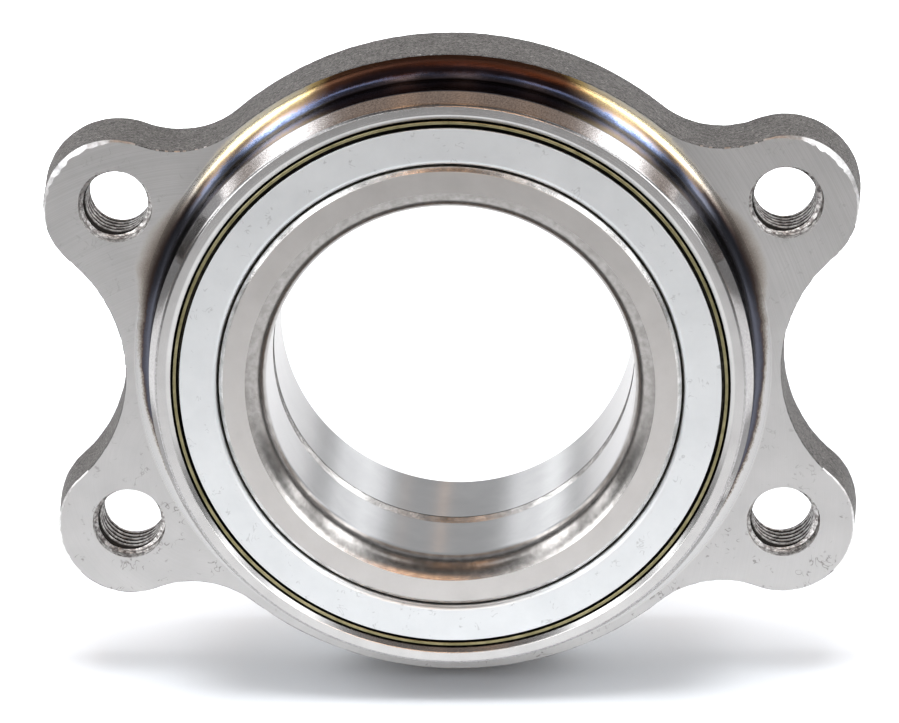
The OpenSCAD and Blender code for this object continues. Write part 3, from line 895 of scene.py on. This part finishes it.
def add_lamp(room, colour, strength, *limits):
    """Adds a soft-edged lamp or wall to the room. Each limit is a measure of the direction,
    its middle and its half width."""
    off = 0.0
    for value, middle, half in limits:
        away = sum_of(tree, "DIVIDE", difference(tree, value, middle), half)
        off = sum_of(tree, "ADD", sum_of(tree, "POWER", sum_of(tree, "ABSOLUTE", away), 4.0), off)
    inside = sum_of(tree, "DIVIDE", 1.0, sum_of(tree, "ADD", 1.0, off))
    inside = sum_of(tree, "POWER", inside, 2.0)
    lit = add_node(tree, "VectorMath", {0: tuple(strength * c for c in colour), 3: inside},
                   operation="SCALE").outputs[0]
    return add_node(tree, "VectorMath", {0: room, 1: lit}, operation="ADD").outputs[0]


side_turn = sum_of(tree, "ARCTAN2", facing_z, sum_of(tree, "ABSOLUTE", facing_x))
across = sum_of(tree, "DIVIDE", facing_x, sum_of(tree, "MAXIMUM", facing_z, 0.05))
white, warm = (1, 1, 1.01), (1.0, 0.55, 0.28)
room = band(tree, sum_of(tree, "ADD", product(tree, facing_y, 0.5), 0.5), (
    (0.0, (0.30, 0.30, 0.30)), (0.22, (0.08, 0.08, 0.08)), (0.45, (0.13, 0.12, 0.11)),
    (0.60, (0.22, 0.155, 0.12)), (0.745, (0.40, 0.27, 0.195)), (0.80, (0.46, 0.38, 0.33)),
    (0.87, (0.70, 0.70, 0.70))))
# the soft lamps at the sides, each with a lower end in front, and the side walls
for middle, half, strength in (
        (math.radians(44), math.radians(8.5), 5.0), (math.radians(21), math.radians(4.5), 4.0)):
    room = add_lamp(room, white, strength, (side_turn, middle, half), (facing_y, 0.0, 0.86))
    room = add_lamp(room, white, strength,
                    (side_turn, 0.45 * middle, 1.6 * half), (facing_y, -0.90, 0.12))
room = add_lamp(room, white, 0.3, (side_turn, 0.0, 0.16), (facing_y, 0.0, 0.6))
room = add_lamp(room, white, 1.2, (side_turn, 1.12, 0.2), (facing_y, -0.32, 0.1))
# warm rows under the ceiling, two warm lamps in front and two behind, and pale stripes behind
for middle, strength in ((-0.24, 2.6), (0.04, 1.3), (0.36, 0.8)):
    room = add_lamp(room, warm, strength, (across, middle, 0.03), (facing_y, -0.08, 0.52))
for middle, half in ((0.0, 0.018), (0.15, 0.022)):
    room = add_lamp(room, warm, 8.0, (facing_x, middle, half), (facing_y, -0.92, 0.14),
                    (facing_z, 0.30, 0.2))
for side, height, strength in ((0.018, 0.33, 1.2), (0.157, 0.29, 0.4)):
    room = add_lamp(room, warm, strength, (facing_x, side, 0.016), (facing_z, height, 0.05),
                    (facing_y, 0.95, 0.2))
for middle, strength in ((0.29, 1.4), (-0.32, 1.3)):
    room = add_lamp(room, white, strength, (facing_x, middle, 0.035), (facing_z, 0.13, 0.12),
                    (facing_y, 0.95, 0.2))
backdrop = blend_colour(tree, rays["Is Camera Ray"], room, (1, 1, 1))
tree.links.new(backdrop, background["Color"])
background["Strength"].default_value = 1.0

lamp = bpy.data.lights.new("lamp_above", "AREA")
lamp.shape = "RECTANGLE"
lamp.size, lamp.size_y, lamp.energy = 0.5, 0.35, 5.0
holder = bpy.data.objects.new("lamp_above", lamp)
holder.location = (0, -0.1, 0.75)
holder.visible_glossy = False
bpy.context.scene.collection.objects.link(holder)

bpy.context.scene.view_settings.view_transform = "Standard"
